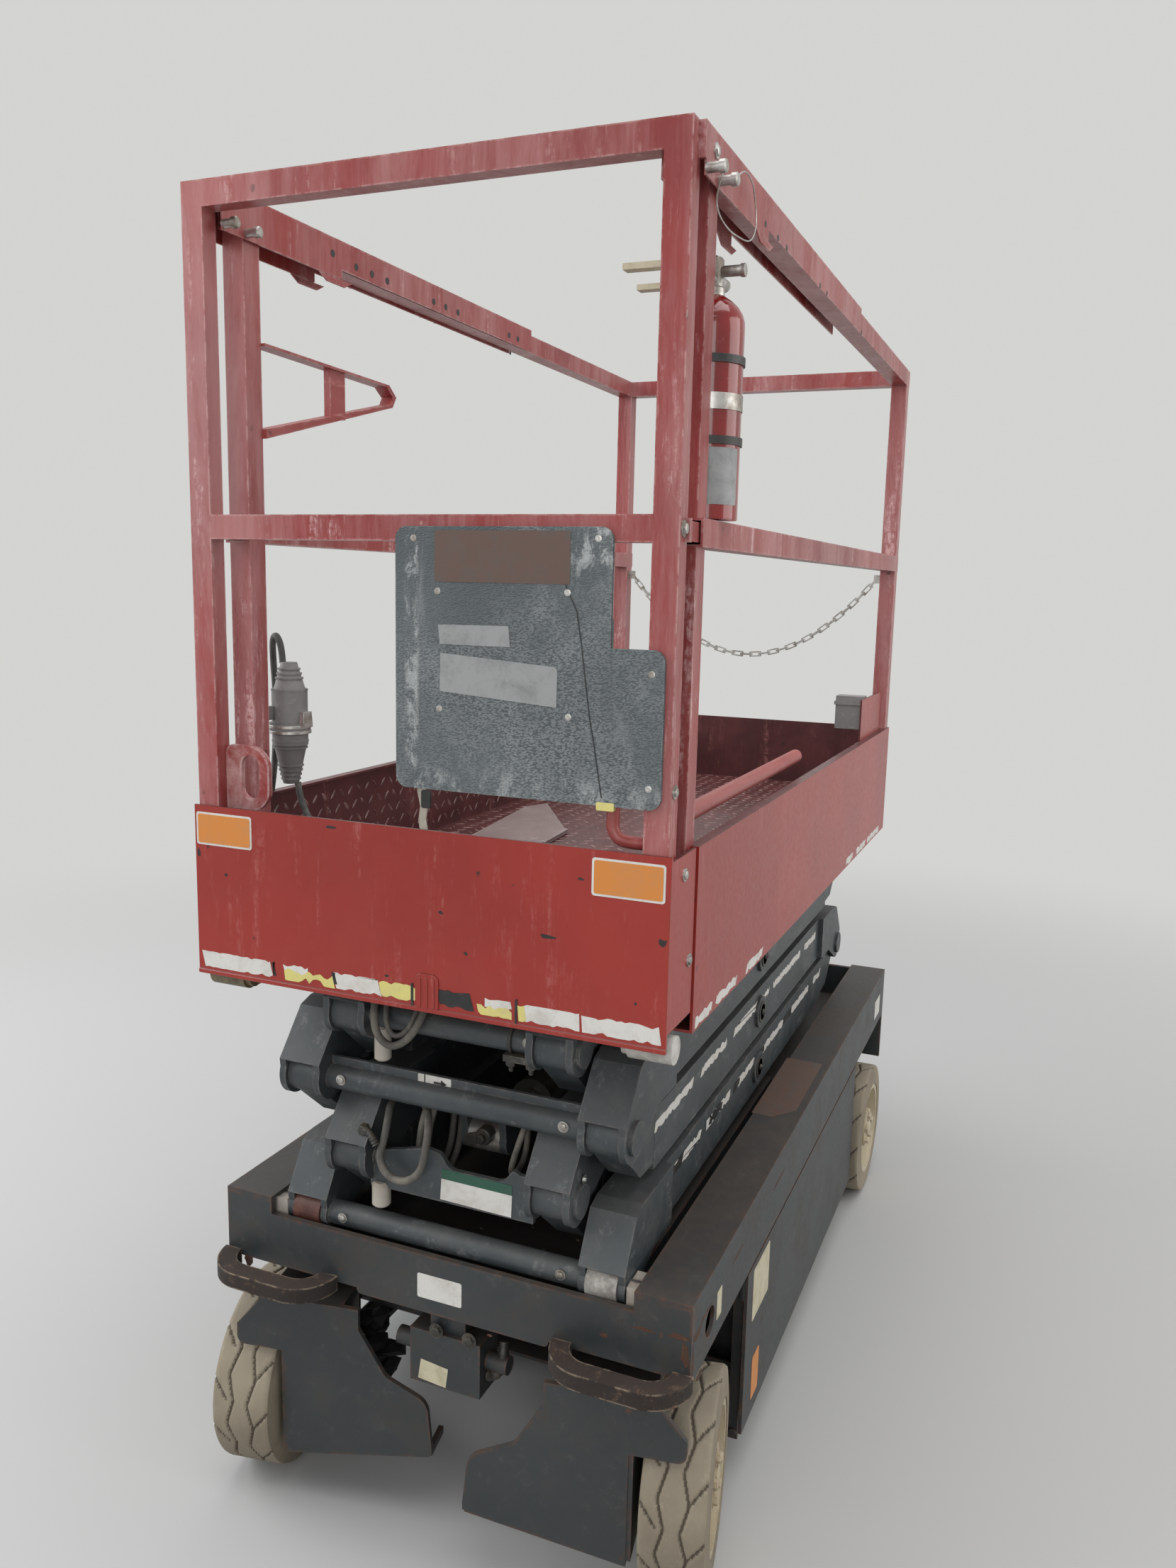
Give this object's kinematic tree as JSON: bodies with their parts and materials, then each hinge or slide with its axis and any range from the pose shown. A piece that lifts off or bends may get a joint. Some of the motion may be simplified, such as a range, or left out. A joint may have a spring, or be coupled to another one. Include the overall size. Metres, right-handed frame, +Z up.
{
  "type": "scissor lift",
  "caption": "Self-propelled slab scissor lift with a railed platform, a roll-out deck extension, a folding stack of arms on a low wheeled base.",
  "frame": {"origin": "on the ground under the middle of the machine's overall length and width", "axes": "+X towards the steered end, where the deck rolls out, +Y to the machine's left, +Z up"},
  "size_m": [1.746, 0.8558, 1.979],
  "materials": {
    "grey_paint": "satin, scuffed",
    "rusty_steel": "rusty",
    "red_paint": "satin, scuffed",
    "panel_plastic": "pebbled, dusty",
    "pale_tyre": "matt, non-marking",
    "pale_rim": "satin",
    "white_nylon": "dirty",
    "bare_steel": "worn",
    "black_paint": "satin",
    "bottle_red": "gloss"
  },
  "bodies": {
    "root": {"base_frame": "grey_paint", "base_keel": "grey_paint", "left_side_rail": "grey_paint", "right_side_rail": "grey_paint", "tie_down_rings": "rusty_steel", "steering_cylinder": "grey_paint", "entry_ladder": "grey_paint"},
    "left_tray": {"left_tray": "grey_paint", "batteries": "black_paint"},
    "right_tray": {"right_tray": "grey_paint", "hydraulic_unit": "panel_plastic"},
    "left_pothole_bar": {"left_pothole_bar": "grey_paint"},
    "right_pothole_bar": {"right_pothole_bar": "grey_paint"},
    "left_knuckle": {"left_knuckle": "grey_paint"},
    "right_knuckle": {"right_knuckle": "grey_paint"},
    "tie_rod": {"tie_rod": "grey_paint"},
    "front_left_wheel": {"front_left_tyre": "pale_tyre", "front_left_rim": "pale_rim"},
    "front_right_wheel": {"front_right_tyre": "pale_tyre", "front_right_rim": "pale_rim"},
    "rear_left_wheel": {"rear_left_tyre": "pale_tyre", "rear_left_rim": "pale_rim"},
    "rear_right_wheel": {"rear_right_tyre": "pale_tyre", "rear_right_rim": "pale_rim"},
    "inner_arms_1": {"inner_arms_1": "grey_paint"},
    "outer_arms_1": {"outer_arms_1": "grey_paint", "base_rollers": "white_nylon"},
    "inner_arms_2": {"inner_arms_2": "grey_paint"},
    "outer_arms_2": {"outer_arms_2": "grey_paint"},
    "inner_arms_3": {"inner_arms_3": "grey_paint"},
    "outer_arms_3": {"outer_arms_3": "grey_paint"},
    "inner_arms_4": {"inner_arms_4": "grey_paint"},
    "outer_arms_4": {"outer_arms_4": "grey_paint", "top_rollers": "white_nylon"},
    "slide_blocks": {"slide_blocks": "white_nylon"},
    "cylinder_barrel": {"cylinder_barrel": "black_paint"},
    "cylinder_rod": {"cylinder_rod": "bare_steel"},
    "platform": {"platform_frame": "red_paint", "toe_boards": "red_paint", "document_box": "panel_plastic", "main_guardrail": "red_paint", "entry_chain": "bare_steel", "support_rollers": "white_nylon", "fire_extinguisher": "bottle_red", "extinguisher_straps": "black_paint", "cable_connector": "panel_plastic", "hoop_bracket": "red_paint", "grab_bar": "red_paint"},
    "extension": {"lanyard_anchor": "red_paint", "extension_deck": "red_paint", "extension_rails": "red_paint", "control_panel": "panel_plastic", "control_console": "panel_plastic"}
  },
  "joints": [
    {"name": "lift", "type": "hinge", "parent": "root", "child": "inner_arms_1", "pos_m": [-0.69, 0, 0.481], "axis": [0, -1, 0], "range_deg": [0, 60]},
    {"name": "scissor_cross_1", "type": "hinge", "parent": "inner_arms_1", "child": "outer_arms_1", "pos_m": [0.0325, 0, 0.5375], "axis": [0, -1, 0], "range_deg": [-120, 0]},
    {"name": "scissor_near_1", "type": "hinge", "parent": "inner_arms_1", "child": "inner_arms_2", "pos_m": [0.755, 0, 0.594], "axis": [0, -1, 0], "range_deg": [-120, 0]},
    {"name": "scissor_far_1", "type": "hinge", "parent": "outer_arms_1", "child": "outer_arms_2", "pos_m": [-0.69, 0, 0.594], "axis": [0, -1, 0], "range_deg": [0, 120]},
    {"name": "scissor_near_2", "type": "hinge", "parent": "outer_arms_2", "child": "outer_arms_3", "pos_m": [0.755, 0, 0.707], "axis": [0, -1, 0], "range_deg": [-120, 0]},
    {"name": "scissor_far_2", "type": "hinge", "parent": "inner_arms_2", "child": "inner_arms_3", "pos_m": [-0.69, 0, 0.707], "axis": [0, -1, 0], "range_deg": [0, 120]},
    {"name": "scissor_near_3", "type": "hinge", "parent": "inner_arms_3", "child": "inner_arms_4", "pos_m": [0.755, 0, 0.82], "axis": [0, -1, 0], "range_deg": [-120, 0]},
    {"name": "scissor_far_3", "type": "hinge", "parent": "outer_arms_3", "child": "outer_arms_4", "pos_m": [-0.69, 0, 0.82], "axis": [0, -1, 0], "range_deg": [0, 120]},
    {"name": "platform_level", "type": "hinge", "parent": "inner_arms_4", "child": "platform", "pos_m": [-0.69, 0, 0.933], "axis": [0, -1, 0], "range_deg": [0, 60]},
    {"name": "slide_block_pin", "type": "hinge", "parent": "outer_arms_1", "child": "slide_blocks", "pos_m": [0.755, 0, 0.481], "axis": [0, -1, 0], "range_deg": [0, 60]},
    {"name": "cylinder_tilt", "type": "hinge", "parent": "inner_arms_1", "child": "cylinder_barrel", "pos_m": [-0.4, 0, 0.56], "axis": [0, -1, 0], "range_deg": [0, 5.51]},
    {"name": "cylinder_stroke", "type": "slide", "parent": "cylinder_barrel", "child": "cylinder_rod", "axis": [0.9992, 0, 0.0405], "range_m": [0, 0.16255]},
    {"name": "extension_slide", "type": "slide", "parent": "platform", "child": "extension", "axis": [1, 0, 0], "range_m": [0, 0.9]},
    {"name": "steer", "type": "hinge", "parent": "root", "child": "left_knuckle", "pos_m": [0.69, 0.262, 0.3], "axis": [0, 0, 1], "range_deg": [-60, 40]},
    {"name": "steer_right", "type": "hinge", "parent": "root", "child": "right_knuckle", "pos_m": [0.69, -0.262, 0.3], "axis": [0, 0, 1], "range_deg": [-60, 40]},
    {"name": "tie_rod_pin", "type": "hinge", "parent": "left_knuckle", "child": "tie_rod", "pos_m": [0.57182, 0.24116, 0.33], "axis": [0, 0, 1], "range_deg": [-40, 60]},
    {"name": "front_left_spin", "type": "hinge", "parent": "left_knuckle", "child": "front_left_wheel", "pos_m": [0.67385, 0.35359, 0.1525], "axis": [-0.1736, 0.9848, 0], "continuous": true},
    {"name": "front_right_spin", "type": "hinge", "parent": "right_knuckle", "child": "front_right_wheel", "pos_m": [0.70615, -0.35359, 0.1525], "axis": [-0.1736, 0.9848, 0], "continuous": true},
    {"name": "rear_left_spin", "type": "hinge", "parent": "root", "child": "rear_left_wheel", "pos_m": [-0.626, 0.355, 0.1525], "axis": [0, 1, 0], "continuous": true},
    {"name": "rear_right_spin", "type": "hinge", "parent": "root", "child": "rear_right_wheel", "pos_m": [-0.626, -0.355, 0.1525], "axis": [0, 1, 0], "continuous": true},
    {"name": "left_tray_swing", "type": "hinge", "parent": "root", "child": "left_tray", "pos_m": [0.48, 0.382, 0.23], "axis": [0, 0, -1], "range_deg": [0, 90]},
    {"name": "right_tray_swing", "type": "hinge", "parent": "root", "child": "right_tray", "pos_m": [0.48, -0.382, 0.23], "axis": [0, 0, 1], "range_deg": [0, 90]},
    {"name": "left_pothole_fold", "type": "hinge", "parent": "root", "child": "left_pothole_bar", "pos_m": [0, 0.37, 0.076], "axis": [1, 0, 0], "range_deg": [0, 90]},
    {"name": "right_pothole_fold", "type": "hinge", "parent": "root", "child": "right_pothole_bar", "pos_m": [0, -0.37, 0.076], "axis": [-1, 0, 0], "range_deg": [0, 90]}
  ],
  "couplings": [
    {"joint": "scissor_cross_1", "follows": "lift", "ratio": -2},
    {"joint": "scissor_near_1", "follows": "lift", "ratio": -2},
    {"joint": "scissor_far_1", "follows": "lift", "ratio": 2},
    {"joint": "scissor_near_2", "follows": "lift", "ratio": -2},
    {"joint": "scissor_far_2", "follows": "lift", "ratio": 2},
    {"joint": "scissor_near_3", "follows": "lift", "ratio": -2},
    {"joint": "scissor_far_3", "follows": "lift", "ratio": 2},
    {"joint": "platform_level", "follows": "lift", "ratio": 1},
    {"joint": "slide_block_pin", "follows": "lift", "ratio": 1},
    {"joint": "cylinder_tilt", "follows": "lift", "ratio": 0.09172},
    {"joint": "cylinder_stroke", "follows": "lift", "m_per_rad": 0.15513},
    {"joint": "steer_right", "follows": "steer", "ratio": 1},
    {"joint": "tie_rod_pin", "follows": "steer", "ratio": -1}
  ]
}
